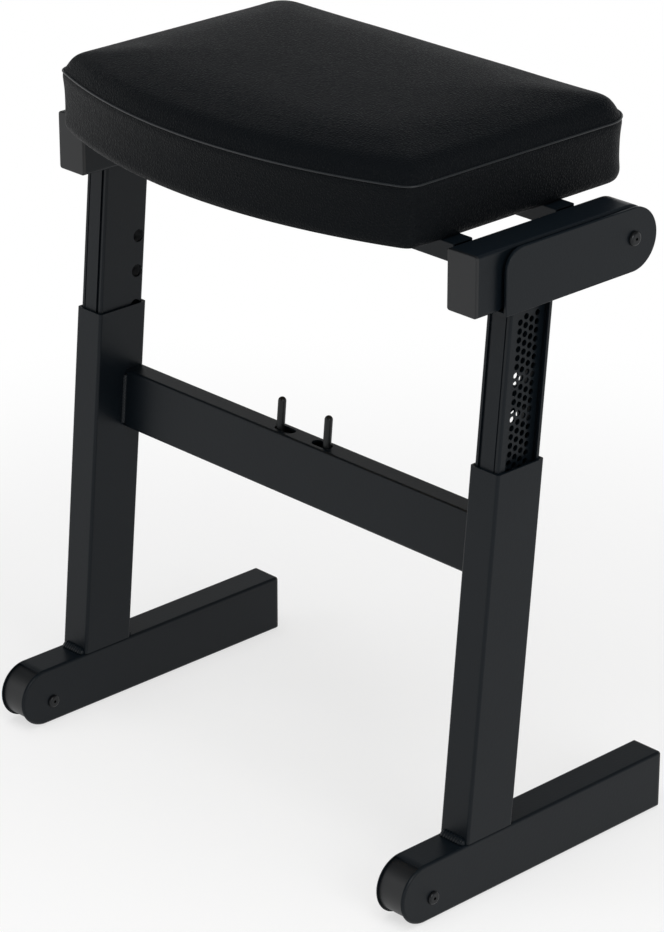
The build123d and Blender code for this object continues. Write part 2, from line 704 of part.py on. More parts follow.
# Plywood seat board
with BuildPart() as seat_board:
    with BuildSketch(Plane((0, seat_middle_y, seat_bottom_z))) as board_plan:
        half_x, bow_y, front_y, rear_y = seat_corners(board_inset, 1)
        with BuildLine():
            ThreePointArc((-half_x, front_y), (0, bow_y), (half_x, front_y))
            Polyline((half_x, front_y), (half_x, rear_y), (-half_x, rear_y), (-half_x, front_y))
        make_face()
        fillet(board_plan.vertices().group_by(Axis.Y)[0], board_front_r)
        fillet(board_plan.vertices().group_by(Axis.Y)[-1], board_rear_r)
    extrude(amount=board_thickness)
    with BuildSketch(Plane.XY.offset(seat_bottom_z)):
        for name, middle_y, depth in cross_tubes:
            with Locations((-screw_x, middle_y), (screw_x, middle_y)):
                Circle(screw_r)
    extrude(amount=screw_bite, mode=Mode.SUBTRACT)
seat_board.part.label = "seat_board"
export_step(seat_board.part, "parts/seat_board.step")

# Padded seat: drawn-in band up to the seam, crowned panel above it
# Each section: share of the height, how far the plan is drawn in, and its scale
band_sections = [(share, draw, 1) for share, draw in band_profile] + [(1, seam_draw, 1)]
crown_sections = [(1 - scale**crown_sharpness, seam_draw, scale) for scale in crown_scales]
with BuildPart() as seat_cushion:
    for low_z, rise, sections in (
        (seat_bottom_z, band_height, band_sections),
        (seam_z, crown_height, crown_sections),
    ):
        for share, inset, scale in sections:
            with BuildSketch(Plane((0, seat_middle_y, low_z + share * rise))) as plan:
                half_x, bow_y, front_y, rear_y = seat_corners(inset, scale)
                with BuildLine():
                    ThreePointArc((-half_x, front_y), (0, bow_y), (half_x, front_y))
                    Polyline((half_x, front_y), (half_x, rear_y), (-half_x, rear_y), (-half_x, front_y))
                make_face()
                fillet(plan.vertices().group_by(Axis.Y)[0], scale * seat_front_r)
                fillet(plan.vertices().group_by(Axis.Y)[-1], scale * seat_rear_r)
        loft()
    with BuildSketch(Plane((0, seat_middle_y, seat_bottom_z))) as pocket_plan:
        half_x, bow_y, front_y, rear_y = seat_corners(board_inset, 1)
        with BuildLine():
            ThreePointArc((-half_x, front_y), (0, bow_y), (half_x, front_y))
            Polyline((half_x, front_y), (half_x, rear_y), (-half_x, rear_y), (-half_x, front_y))
        make_face()
        fillet(pocket_plan.vertices().group_by(Axis.Y)[0], board_front_r)
        fillet(pocket_plan.vertices().group_by(Axis.Y)[-1], board_rear_r)
    extrude(amount=board_thickness, mode=Mode.SUBTRACT)
seat_cushion.part.label = "seat_cushion"
export_step(seat_cushion.part, "parts/seat_cushion.step")

# Screws up through the cross tubes into the board
with BuildPart() as seat_screws:
    for name, middle_y, depth in cross_tubes:
        with Locations((-screw_x, middle_y, cross_bottom_z), (screw_x, middle_y, cross_bottom_z)):
            Cylinder(
                screw_head_r,
                screw_head_height,
                align=(Align.CENTER, Align.CENTER, Align.MAX),
            )
            Cylinder(
                screw_r,
                cross_height + screw_bite,
                align=(Align.CENTER, Align.CENTER, Align.MIN),
            )
seat_screws.part.label = "seat_screws"
export_step(seat_screws.part, "parts/seat_screws.step")

# Least gap of a lock spring to itself, measured between points over half a turn apart
coil_points = [coil_point(count / coil_samples) for count in range(spring_turns * coil_samples + 1)]
turn_gap = min(
    (far - near).length - 2 * spring_wire_r
    for count, near in enumerate(coil_points)
    for far in coil_points[count + coil_samples // 2 + 1:]
)
print("spring turn gap", round(turn_gap, 2), "mm")
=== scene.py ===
# %% [markdown]
# # A keyboard player's bench
# The imported model is the skeleton of this scene: every tube, bracket, rivet and rod is already there,
# in metres, at its true place. We load it first.

import json
import math

import bmesh
import bpy
import numpy as np
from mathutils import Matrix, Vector
from mathutils.bvhtree import BVHTree


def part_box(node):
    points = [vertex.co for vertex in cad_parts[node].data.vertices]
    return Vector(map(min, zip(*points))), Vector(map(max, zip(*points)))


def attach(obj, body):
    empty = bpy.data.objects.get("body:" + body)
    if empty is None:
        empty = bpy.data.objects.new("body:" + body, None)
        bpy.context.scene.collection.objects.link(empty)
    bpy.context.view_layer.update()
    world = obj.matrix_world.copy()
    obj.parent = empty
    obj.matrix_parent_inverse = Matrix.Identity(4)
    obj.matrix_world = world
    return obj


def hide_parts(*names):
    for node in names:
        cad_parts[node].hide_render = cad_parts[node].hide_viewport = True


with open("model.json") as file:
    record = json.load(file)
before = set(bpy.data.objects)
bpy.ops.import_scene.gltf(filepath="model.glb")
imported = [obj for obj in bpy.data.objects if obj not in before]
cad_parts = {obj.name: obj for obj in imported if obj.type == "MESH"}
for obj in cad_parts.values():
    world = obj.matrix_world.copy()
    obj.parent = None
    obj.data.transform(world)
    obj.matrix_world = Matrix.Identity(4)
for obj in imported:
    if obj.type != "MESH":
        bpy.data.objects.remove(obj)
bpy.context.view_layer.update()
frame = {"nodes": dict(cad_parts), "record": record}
scene = bpy.context.scene
scene.view_settings.view_transform = "Standard"
print("bench nodes:", len(frame["nodes"]))

# %% [markdown]
# ## Small helpers for materials
# A finish is a little graph of nodes. Written out by hand it takes five lines a node, so one helper adds
# a node, sets its values and joins its inputs. Colours are written as the hex numbers a paint chart gives,
# and another helper turns them into the linear light that the renderer works in.


# %% Colour and node helpers
def linear(hex_code):
    """Linear RGBA of an sRGB hex colour: below 0.04045 divide by 12.92, above it use the 2.4 power."""
    parts = np.array([int(hex_code[i:i + 2], 16) for i in (1, 3, 5)]) / 255
    light = np.where(parts <= 0.04045, parts / 12.92, ((parts + 0.055) / 1.055) ** 2.4)
    return (*light.tolist(), 1.0)


def put(tree, kind, values=None, links=None, **settings):
    """Adds a node: settings are its own fields, values its sockets, links what feeds a socket."""
    node = tree.nodes.new(kind)
    for name, value in settings.items():
        setattr(node, name, value)
    for socket, value in (values or {}).items():
        node.inputs[socket].default_value = value
    for socket, source in (links or {}).items():
        tree.links.new(source, node.inputs[socket])
    return node


def new_finish(name):
    """A bare material: returns it, its tree, its surface shader and its object coordinates."""
    finish = bpy.data.materials.new(name)
    finish.use_nodes = True
    tree = finish.node_tree
    shader = tree.nodes["Principled BSDF"]
    place = put(tree, "ShaderNodeTexCoord").outputs["Object"]
    return finish, tree, shader, place


def bump(tree, shader, height, depth):
    """Raises the surface by a pattern: depth is the real height of the pattern in metres."""
    node = put(tree, "ShaderNodeBump", {"Strength": 1.0, "Distance": depth}, {"Height": height})
    tree.links.new(node.outputs["Normal"], shader.inputs["Normal"])


# %% [markdown]
# ## Powder-coated steel
# The frame is steel tube, dusted with black powder and baked. The skin is nearly smooth, with the faint
# orange peel that powder leaves as it melts: bumps about two millimetres across and a few hundredths high.
# Two noise patterns do that, one for the bumps and one, much broader, for small changes of gloss.


# %% Powder coat
def powder_coat():
    """Dark dielectric with fine bumps and a roughness that drifts."""
    finish, tree, shader, place = new_finish("semi-gloss black powder coat")
    shader.inputs["Base Color"].default_value = linear("#0c1217")
    shader.inputs["Specular IOR Level"].default_value = 0.17
    peel = put(tree, "ShaderNodeTexNoise", {"Scale": 480.0, "Detail": 2.0}, {"Vector": place})
    bump(tree, shader, peel.outputs["Fac"], 0.00006)
    cloud = put(tree, "ShaderNodeTexNoise", {"Scale": 22.0, "Detail": 3.0}, {"Vector": place})
    gloss = put(
        tree,
        "ShaderNodeMapRange",
        {"To Min": 0.30, "To Max": 0.40},
        {"Value": cloud.outputs["Fac"]},
    )
    tree.links.new(gloss.outputs["Result"], shader.inputs["Roughness"])
    return finish


# %% [markdown]
# ## Plastic, plated steel and plywood
# The plugs and caps are moulded in a satin black plastic with a fine spark-eroded texture. Springs, spring
# plates and screws are bright zinc. The seat board is birch plywood, whose grain is a stretched noise.


# %% Smaller finishes
def satin_plastic():
    """Black dielectric, half rough, with a grain finer than a millimetre."""
    finish, tree, shader, place = new_finish("satin black moulded plastic")
    shader.inputs["Base Color"].default_value = linear("#0c0f12")
    shader.inputs["Roughness"].default_value = 0.48
    shader.inputs["Specular IOR Level"].default_value = 0.42
    grain = put(tree, "ShaderNodeTexNoise", {"Scale": 1600.0, "Detail": 1.0}, {"Vector": place})
    bump(tree, shader, grain.outputs["Fac"], 0.00004)
    return finish


def dark_metal(name, colour, roughness):
    """Blackened steel: part metal, part coating, with tool marks."""
    finish, tree, shader, place = new_finish(name)
    shader.inputs["Base Color"].default_value = linear(colour)
    shader.inputs["Metallic"].default_value = 0.6
    shader.inputs["Roughness"].default_value = roughness
    marks = put(tree, "ShaderNodeTexNoise", {"Scale": 900.0, "Detail": 2.0}, {"Vector": place})
    bump(tree, shader, marks.outputs["Fac"], 0.00003)
    return finish


def zinc_plate():
    """Pale metal whose gloss is cloudy."""
    finish, tree, shader, place = new_finish("bright zinc plate")
    shader.inputs["Base Color"].default_value = linear("#b9bcc2")
    shader.inputs["Metallic"].default_value = 1.0
    cloud = put(tree, "ShaderNodeTexNoise", {"Scale": 150.0, "Detail": 2.0}, {"Vector": place})
    gloss = put(
        tree,
        "ShaderNodeMapRange",
        {"To Min": 0.28, "To Max": 0.42},
        {"Value": cloud.outputs["Fac"]},
    )
    tree.links.new(gloss.outputs["Result"], shader.inputs["Roughness"])
    return finish


def birch_plywood():
    """Wood with its grain along X: a noise squeezed across, between two tones."""
    finish, tree, shader, place = new_finish("plain birch plywood")
    along = put(tree, "ShaderNodeMapping", {"Scale": (4.0, 60.0, 240.0)}, {"Vector": place})
    grain = put(
        tree,
        "ShaderNodeTexNoise",
        {"Scale": 1.0, "Detail": 5.0},
        {"Vector": along.outputs["Vector"]},
    )
    tone = put(tree, "ShaderNodeValToRGB", None, {"Fac": grain.outputs["Fac"]})
    tone.color_ramp.elements[0].position = 0.3
    tone.color_ramp.elements[0].color = linear("#b08a5c")
    tone.color_ramp.elements[1].position = 0.72
    tone.color_ramp.elements[1].color = linear("#d6b988")
    tree.links.new(tone.outputs["Color"], shader.inputs["Base Color"])
    shader.inputs["Roughness"].default_value = 0.62
    bump(tree, shader, grain.outputs["Fac"], 0.0001)
    return finish


# %% [markdown]
# ## Grained vinyl
# The seat is covered in black vinyl, embossed to look like leather: small pebbles about two millimetres
# across, parted by creases. Voronoi cells give the pebbles, their edges are the creases, and a noise
# bends the cells so that no two are alike.


# %% Vinyl
def grained_vinyl():
    """Black dielectric, domed by bent Voronoi cells, a little smoother on the domes than in the creases."""
    finish, tree, shader, place = new_finish("grained black vinyl")
    shader.inputs["Base Color"].default_value = linear("#080b0e")
    shader.inputs["Specular IOR Level"].default_value = 0.07
    sway = put(tree, "ShaderNodeTexNoise", {"Scale": 260.0, "Detail": 2.0}, {"Vector": place})
    shift = put(
        tree,
        "ShaderNodeVectorMath",
        {"Scale": 0.0016},
        {"Vector": sway.outputs["Color"]},
        operation="SCALE",
    )
    bent = put(tree, "ShaderNodeVectorMath", None, {0: place, 1: shift.outputs["Vector"]}, operation="ADD")
    pebbles = put(
        tree,
        "ShaderNodeTexVoronoi",
        {"Scale": 420.0},
        {"Vector": bent.outputs["Vector"]},
        feature="DISTANCE_TO_EDGE",
    )
    dome = put(
        tree,
        "ShaderNodeMapRange",
        {"From Min": 0.0, "From Max": 0.35},
        {"Value": pebbles.outputs["Distance"]},
        interpolation_type="SMOOTHSTEP",
    )
    bump(tree, shader, dome.outputs["Result"], 0.00035)
    gloss = put(
        tree,
        "ShaderNodeMapRange",
        {"To Min": 0.56, "To Max": 0.44},
        {"Value": dome.outputs["Result"]},
    )
    tree.links.new(gloss.outputs["Result"], shader.inputs["Roughness"])
    return finish


# %% [markdown]
# ## Dressing the model
# The record says which finish each piece takes, so a table from that name to a material dresses every
# node in one loop. The meshes themselves are left exactly as they came.

# %% Put the finishes on
finishes = {
    "powder_steel": powder_coat(),
    "black_plastic": satin_plastic(),
    "blackened_rivet": dark_metal("satin black rivet", "#1a1c1e", 0.30),
    "black_rod": dark_metal("blackened rod", "#1d1f20", 0.36),
    "zinc_steel": zinc_plate(),
    "plywood": birch_plywood(),
    "black_vinyl": grained_vinyl(),
}
for entry in frame["record"]["subparts"]:
    node = frame["nodes"][entry["node"]]
    node.data.materials.clear()
    node.data.materials.append(finishes[entry["material_slot"]])
print("finishes:", ", ".join(sorted(finishes)))

# %% [markdown]
# ## The padded seat
# The seat is foam in a cover of two vinyl pieces: a top panel and a band round the sides, sewn together
# along the upper edge. Foam pushes both pieces out between the seam and the board. It could be sculpted by
# hand, but a cloth simulation finds that bulge by itself. So we lay out a clean net that has the seam as one
# of its lines, start it a little too small, hold it at the seam and under the board, and let an inner
# pressure blow it up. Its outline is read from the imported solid, so it keeps the real size.

# %% Read the outline of the solid
pad_low, pad_high = (np.array(corner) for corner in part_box("seat_cushion"))
board_low, board_high = (np.array(corner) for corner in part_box("seat_board"))
pad_middle = (pad_low + pad_high) / 2
BAND_HEIGHT = 0.048
SEAM_DRAW = 0.002
seam_z = pad_low[2] + BAND_HEIGHT
OUTLINE_STEPS = 1440
OUTLINE_EASING = 6


def outline_at(height):
    """The solid's outline at a height: where rays from all round, aimed at its middle, meet it."""
    net = bmesh.new()
    net.from_mesh(frame["nodes"]["seat_cushion"].data)
    tree = BVHTree.FromBMesh(net)
    net.free()
    middle = Vector((pad_middle[0], pad_middle[1], height))
    line = []
    for angle in np.linspace(0, 2 * math.pi, OUTLINE_STEPS, endpoint=False):
        out = Vector((math.cos(angle), math.sin(angle), 0))
        line.append(tree.ray_cast(middle + out, -out)[0])
    return np.array([list(point) for point in line])


def soften(loop, rounds):
    """Each point moved to the mean of itself and its two neighbours, a few times over."""
    for _ in range(rounds):
        loop = (np.roll(loop, 1, axis=0) + 2 * loop + np.roll(loop, -1, axis=0)) / 4
    return loop


outline = soften(outline_at(pad_low[2] + BAND_HEIGHT / 2), OUTLINE_EASING)
steps = np.linalg.norm(np.diff(outline, axis=0), axis=1)
print("seat outline: %.0f mm round" % (1000 * steps.sum()))

# %% [markdown]
# ### A net with the seam in it
# The loop is cut at its four corners into front, right, rear and left. A Coons patch stretches a net between
# four such edges: it adds the two straight blends between opposite edges and takes away the flat blend of the
# corners. The band is a profile carried round the loop. Both share the seam's points, so they can be sewn.

# %% Cut the outline into four sides
ALONG = 92
ACROSS = 68
EDGE_CROWDING = 0.55


def crowded(count):
    """Steps from 0 to 1 that lie closer at both ends: a blend of even steps and half a cosine wave."""
    even = np.linspace(0, 1, count + 1)
    return (1 - EDGE_CROWDING) * even + EDGE_CROWDING * (0.5 - 0.5 * np.cos(math.pi * even))


def stretch(line, count):
    """The open line again, with points at crowded shares of its length."""
    gone = np.concatenate([[0], np.cumsum(np.linalg.norm(np.diff(line, axis=0), axis=1))])
    places = crowded(count) * gone[-1]
    return np.column_stack([np.interp(places, gone, line[:, axis]) for axis in range(3)])


def four_sides(loop):
    """Front, right, rear and left of the loop, cut where it reaches furthest along each diagonal."""
    flat = (loop[:, :2] - pad_middle[:2]) / (pad_high - pad_low)[:2]
    corners = [int(np.argmax(flat @ way)) for way in ((-1, -1), (1, -1), (1, 1), (-1, 1))]
    sides = []
    for start, end, count in zip(corners, corners[1:] + corners[:1], (ALONG, ACROSS, ALONG, ACROSS)):
        span = np.arange(start, end + 1 if end > start else end + len(loop) + 1) % len(loop)
        sides.append(stretch(loop[span], count))
    return sides


front, right, rear, left = four_sides(outline)
ring = np.vstack([front[:-1], right[:-1], rear[:-1], left[:-1]])
ahead = np.roll(ring, -1, axis=0) - np.roll(ring, 1, axis=0)
outward = np.column_stack([ahead[:, 1], -ahead[:, 0], np.zeros(len(ring))])
outward /= np.linalg.norm(outward, axis=1, keepdims=True)
print("points round the seat:", len(ring))

# %% From grids of points to an object
MERGE_DISTANCE = 1e-6


def grid_faces(rows, columns, first, closed=False):
    """Four-sided faces of a grid of points that starts at a given number."""
    row = np.arange(rows - 1)[:, None]
    column = np.arange(columns if closed else columns - 1)[None]
    beside = (column + 1) % columns
    corners = (row * columns + column, row * columns + beside)
    corners += ((row + 1) * columns + beside, (row + 1) * columns + column)
    return np.stack(corners, axis=-1).reshape(-1, 4) + first


def sewn_grids(name, grids):
    """One object from grids of points, each open or closed round its rows: doubles merged, faces outwards."""
    points, faces, first = [], [], 0
    for grid, closed in grids:
        points.append(grid.reshape(-1, 3))
        faces.append(grid_faces(grid.shape[0], grid.shape[1], first, closed))
        first += len(points[-1])
    mesh = bpy.data.meshes.new(name)
    mesh.from_pydata(np.vstack(points).tolist(), [], np.vstack(faces).tolist())
    net = bmesh.new()
    net.from_mesh(mesh)
    bmesh.ops.remove_doubles(net, verts=net.verts, dist=MERGE_DISTANCE)
    bmesh.ops.dissolve_degenerate(net, edges=net.edges, dist=MERGE_DISTANCE / 10)
    bmesh.ops.recalc_face_normals(net, faces=net.faces)
    open_edges = sum(not edge.is_manifold for edge in net.edges)
    net.to_mesh(mesh)
    net.free()
    mesh.shade_smooth()
    piece = bpy.data.objects.new(name, mesh)
    scene.collection.objects.link(piece)
    print(name + ":", len(mesh.vertices), "points,", open_edges, "open edges")
    return piece


# %% Top panel, band and underside
CROWN = 0.0250
SHOULDER_SHARE = 0.6
SHOULDER_WIDTH = 0.0055
SHOULDER_POWER = 1.4
DOME_WIDTH = 0.045
PANEL_EASING = 4
START_SLACK = 0.0026
BAND_ROWS = 15
RECESS_GAP = 0.0004
RECESS_ROWS = 4
RIM_SAG = 0.0002
BAND_SHAPE = ((0.0, 0.10, 0.5, 0.92, 1.0), (0.004, 0.001, 0.0, 0.0006, SEAM_DRAW))


def inset_ring(draw, height):
    """The outline's ring drawn in by so much, at a height."""
    loop = ring - outward * draw
    loop[:, 2] = height
    return loop


def coons(loop):
    """A net between the four edges of a ring: blend of front and rear, plus blend of left and right, less
    the blend of the four corners."""
    cuts = np.cumsum([0, ALONG, ACROSS, ALONG, ACROSS])
    closed = np.vstack([loop, loop[:1]])
    near, east, far, west = (closed[cuts[i]:cuts[i + 1] + 1] for i in range(4))
    far, west = far[::-1], west[::-1]
    u = crowded(ALONG)[:, None, None]
    v = crowded(ACROSS)[None, :, None]
    flat = (1 - u) * (1 - v) * near[0] + u * (1 - v) * near[-1] + (1 - u) * v * far[0] + u * v * far[-1]
    return (1 - v) * near[:, None] + v * far[:, None] + (1 - u) * west[None] + u * east[None] - flat


def rise(gap):
    """Share of the crown at a distance from the seam: a steep shoulder, 1 - exp(-(gap / width) ** power),
    which starts level at the seam, plus a broad dome, 1 - exp(-gap / width)."""
    shoulder = 1 - np.exp(-((gap / SHOULDER_WIDTH) ** SHOULDER_POWER))
    return SHOULDER_SHARE * shoulder + (1 - SHOULDER_SHARE) * (1 - np.exp(-gap / DOME_WIDTH))


def top_panel():
    """The seam's net, raised by each point's distance from the seam and eased, so that no crease is left
    where two sides meet."""
    loop = inset_ring(SEAM_DRAW, seam_z)
    net = coons(loop)
    gap = np.linalg.norm(net[:, :, None, :2] - loop[None, None, :, :2], axis=3).min(axis=2)
    lift = rise(gap)
    for _ in range(PANEL_EASING):
        around = lift[:-2, 1:-1] + lift[2:, 1:-1] + lift[1:-1, :-2] + lift[1:-1, 2:]
        lift[1:-1, 1:-1] = (lift[1:-1, 1:-1] + around / 4) / 2
    net[:, :, 2] += (CROWN - START_SLACK) * lift / lift.max()
    return net


def side_band():
    """Rings from the seam down to the board: the solid's draw-in plus a slack that is most half way."""
    rows = 1 - crowded(BAND_ROWS)
    draws = np.interp(rows, *BAND_SHAPE) + START_SLACK * np.sin(math.pi * rows)
    rings = [inset_ring(draw, pad_low[2] + row * BAND_HEIGHT) for draw, row in zip(draws, rows)]
    recess = float(board_low[0] - pad_low[0]) - RECESS_GAP
    rings.append(inset_ring((recess + draws[-1]) / 2, pad_low[2] - RIM_SAG))
    heights = np.linspace(pad_low[2], board_high[2] + RECESS_GAP, RECESS_ROWS)
    return np.array(rings + [inset_ring(recess, height) for height in heights])


band = side_band()
underside = coons(band[-1])[::-1]
seat_pad = sewn_grids("seat_padding", ((top_panel(), False), (band, True), (underside, False)))

# %% [markdown]
# ### Blow it up
# Cloth with an inner pressure is a balloon. The seam and everything under the board are pinned. After twenty
# frames each point's move is capped, so that the simulation gives the form and the solid gives the size. Then
# the moves are eased over the net: thick vinyl on foam bulges softly and doesn't crease like thin cloth.

# %% Pressure
PRESSURE = 4.0
STRETCH_STIFFNESS = 40
BEND_STIFFNESS = 2.0
LAST_FRAME = 20
MOST_SWELL = 0.0045
FOAM_SHARE = 0.3
EASING_ROUNDS = 30
PINNED_BELOW = 0.004
SAME_PLACE = 1e-5


def points_of(mesh):
    """All vertex places of a mesh as an array of rows."""
    flat = np.empty(len(mesh.vertices) * 3)
    mesh.vertices.foreach_get("co", flat)
    return flat.reshape(-1, 3)


def set_points(mesh, points):
    """Moves all vertices of a mesh to the rows of an array."""
    mesh.vertices.foreach_set("co", points.ravel())
    mesh.update()


def pinned_points(points):
    """Points under the board's rim and points on the seam's ring."""
    low = points[:, 2] < pad_low[2] + PINNED_BELOW
    under = np.isclose(points[:, 2], board_high[2] + RECESS_GAP, atol=SAME_PLACE)
    gap = points[:, None, :2] - inset_ring(SEAM_DRAW, seam_z)[None, :, :2]
    level = np.isclose(points[:, 2], seam_z, atol=SAME_PLACE)
    on_seam = level & (np.abs(gap).sum(axis=2).min(axis=1) < SAME_PLACE)
    below = points[:, 2] < board_high[2] + 2 * RECESS_GAP
    inner = below & (np.abs(points[:, 0]) < board_high[0] + RECESS_GAP)
    return np.where(low | under | on_seam | inner)[0]


def eased(mesh, moved, held):
    """Each point's move averaged with its neighbours' a few times over, while the held points stay."""
    ends = np.array([edge.vertices[:] for edge in mesh.edges])
    degree = np.bincount(ends.ravel(), minlength=len(moved))[:, None]
    for _ in range(EASING_ROUNDS):
        around = np.zeros_like(moved)
        np.add.at(around, ends[:, 0], moved[ends[:, 1]])
        np.add.at(around, ends[:, 1], moved[ends[:, 0]])
        moved = (moved + around / degree) / 2
        moved[held] = 0
    return moved


def swell(pad):
    """Some frames of pressure, then each point's move is cut to the cap and eased. Firm foam carries the
    top panel, so only a share of its move is kept."""
    start = points_of(pad.data)
    pins = pad.vertex_groups.new(name="held")
    held = pinned_points(start)
    pins.add(held.tolist(), 1.0, "REPLACE")
    cloth = pad.modifiers.new("pressure", "CLOTH")
    cloth.settings.use_pressure = True
    cloth.settings.uniform_pressure_force = PRESSURE
    cloth.settings.vertex_group_mass = pins.name
    cloth.settings.tension_stiffness = STRETCH_STIFFNESS
    cloth.settings.bending_stiffness = BEND_STIFFNESS
    cloth.settings.effector_weights.gravity = 0.0
    cloth.point_cache.frame_start = 1
    cloth.point_cache.frame_end = LAST_FRAME
    for number in range(1, LAST_FRAME + 1):
        scene.frame_set(number)
    shaped = pad.evaluated_get(bpy.context.evaluated_depsgraph_get())
    moved = points_of(shaped.data) - start
    reach = np.linalg.norm(moved, axis=1, keepdims=True)
    moved *= np.minimum(1.0, MOST_SWELL / np.maximum(reach, 1e-9))
    moved[start[:, 2] > seam_z + SAME_PLACE] *= FOAM_SHARE
    moved = eased(pad.data, moved, held)
    pad.modifiers.remove(cloth)
    scene.frame_set(1)
    set_points(pad.data, start + moved)
    print("swell before the cap: mean %.1f, most %.1f mm" % (1000 * reach.mean(), 1000 * reach.max()))


swell(seat_pad)
finer = seat_pad.modifiers.new("finer net", "SUBSURF")
finer.levels = 1
finer.render_levels = 1
bpy.context.view_layer.objects.active = seat_pad
seat_pad.select_set(True)
bpy.ops.object.modifier_apply(modifier=finer.name)
print("seat top: %.1f mm" % (1000 * points_of(seat_pad.data)[:, 2].max()))

# %% [markdown]
# ### The sewn edge
# Along the seam both pieces of vinyl are folded under and stand up as a thin, hard edge, which catches the
# light as a fine line. A round profile carried along the seam's ring makes it, in a lighter copy of the vinyl
# whose colour paints part of that bright line as a painted highlight.

# %% Lay the ridge on the seam
RIDGE_RADIUS = 0.0008
RIDGE_SIDES = 10
RIDGE_OUT = 0.0004
RIDGE_UP = 0.0003


def tube_along(name, loop, radius, sides):
    """A closed tube: a ring of sides points across each step of the loop, turned to its direction."""
    ahead = np.roll(loop, -1, axis=0) - np.roll(loop, 1, axis=0)
    ahead /= np.linalg.norm(ahead, axis=1, keepdims=True)
    up = np.array([0.0, 0.0, 1.0])
    out = np.cross(ahead, up)
    out /= np.linalg.norm(out, axis=1, keepdims=True)
    turn = np.linspace(0, 2 * math.pi, sides, endpoint=False)
    rings = loop[:, None] + radius * (
        np.cos(turn)[None, :, None] * out[:, None] + np.sin(turn)[None, :, None] * up
    )
    return sewn_grids(name, ((np.concatenate([rings, rings[:1]]), True),))


def highlit_folded_vinyl():
    """The same vinyl where it is folded: stretched smooth, so it shines more than the grain, and lighter in
    colour, which paints a highlight along the seam.
    """
    finish, tree, shader, place = new_finish("folded black vinyl edge with painted highlight")
    # painted highlight: a lighter base colour than the seat's vinyl, so the ridge reads as a bright line
    shader.inputs["Base Color"].default_value = linear("#14181b")
    shader.inputs["Specular IOR Level"].default_value = 0.4
    shader.inputs["Roughness"].default_value = 0.38
    stitch = put(tree, "ShaderNodeTexNoise", {"Scale": 700.0, "Detail": 1.0}, {"Vector": place})
    bump(tree, shader, stitch.outputs["Fac"], 0.00008)
    return finish


seam_line = inset_ring(SEAM_DRAW - RIDGE_OUT, seam_z + RIDGE_UP)
seam_ridge = tube_along("seat_seam_ridge", seam_line, RIDGE_RADIUS, RIDGE_SIDES)
for piece, finish in ((seat_pad, finishes["black_vinyl"]), (seam_ridge, highlit_folded_vinyl())):
    piece.data.materials.clear()
    piece.data.materials.append(finish)
    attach(piece, "seat")
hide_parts("seat_cushion")

# %% [markdown]
# ## Weld beads
# The legs are welded to the feet and the crossbar to the legs. A hand-laid weld is a row of small
# overlapping pools, like a stack of coins pushed over. The solids only show a plain wedge there, so each
# wedge is replaced by a bead: a quarter-round profile carried along the corner, whose size rises and falls
# with every pool.

# %% Lay the beads
LEG_DEPTH = 0.050
LEAN = math.radians(5.0)
POOL = 0.0026
STEPS_PER_POOL = 6
PROFILE_POINTS = 9
RIPPLE = 0.14
POOL_LAG = 0.35
END_ROUNDING = 0.9
leg_up = np.array([0.0, math.sin(LEAN), math.cos(LEAN)])


def weld_bead(start, end, first, second, size):
    """Grid of a bead: corner plus size times (cos first + sin second), rippled and rounded off at its
    ends."""
    length = np.linalg.norm(end - start)
    share = np.linspace(0, 1, STEPS_PER_POOL * int(length / POOL))
    pools = share * length / POOL
    ripple = 1 - RIPPLE + RIPPLE * np.abs(np.sin(math.pi * pools))
    taper = np.clip(np.minimum(share, 1 - share) * length / (END_ROUNDING * size), 0, 1)
    reach = size * ripple * np.sqrt(np.clip(1 - (1 - taper) ** 2, 0, 1))
    turn = np.linspace(0, math.pi / 2, PROFILE_POINTS)
    profile = np.vstack([np.zeros(3), np.cos(turn)[:, None] * first + np.sin(turn)[:, None] * second])
    lag = POOL_LAG * POOL * np.concatenate([[0], np.sin(2 * turn)])
    along = (end - start) / length
    line = start + share[:, None] * (end - start)
    return line[:, None] + reach[:, None, None] * profile + (taper[:, None] * lag)[:, :, None] * along


def bead_piece(name, beads, node):
    """All beads of one kind as one mesh, closed where their ends run to a point."""
    piece = sewn_grids(name, [(bead, True) for bead in beads])
    piece.data.materials.append(finishes["powder_steel"])
    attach(piece, "base")
    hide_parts(node)


# %% Where the beads lie
FOOT_BEAD = 0.005
BAR_BEAD = 0.003
BEAD_INSET = 0.002
forward = np.array([0.0, -1.0, 0.0])
foot_beads, bar_beads = [], []
bar_low, bar_high = (np.array(corner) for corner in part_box("crossbar"))
for side, sign in (("left", -1), ("right", 1)):
    leg_low, leg_high = (np.array(corner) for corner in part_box(side + "_outer_leg"))
    ends = np.array([leg_low[0] + BEAD_INSET, leg_high[0] - BEAD_INSET])
    for y, way in ((leg_low[1], forward), (leg_low[1] + LEG_DEPTH, -forward)):
        start, end = (np.array([x, y, leg_low[2]]) for x in ends)
        foot_beads.append(weld_bead(start, end, way, leg_up, FOOT_BEAD))
    corner = np.array([bar_low[0] if sign < 0 else bar_high[0], bar_low[1], bar_low[2]])
    start = corner + leg_up * BAR_BEAD
    end = corner + leg_up * ((bar_high[2] - bar_low[2]) / leg_up[2] - BAR_BEAD)
    bar_beads.append(weld_bead(start, end, np.array([-float(sign), 0, 0]), forward, BAR_BEAD))
bead_piece("foot_weld_beads", foot_beads, "foot_welds")
bead_piece("crossbar_weld_beads", bar_beads, "crossbar_welds")

# %% [markdown]
# ## Studio
# The photograph shows the bench on seamless white. A round sheet of white paper makes the floor and curls up
# at its rim, so that it is all that the camera sees from any side. To the camera and in reflections it glows
# with strength 1, which is white, all over except round the bench: there part of its own lit colour comes
# through, so that the bench keeps a soft shadow. Above the rim the studio is dim, as the dark slopes of the
# seat show.

# %% Paper cove and dim studio
COVE_FLAT = 5.0
COVE_BEND = 2.2
FLOOR_GAP = 0.0005
COVE_RINGS = (0.0, 1.0, 2.5)
BEND_STEPS = 12
COVE_SPOKES = 96
SHADOW_SHARE = 0.36
SHADOW_REACH = (0.45, 1.0)


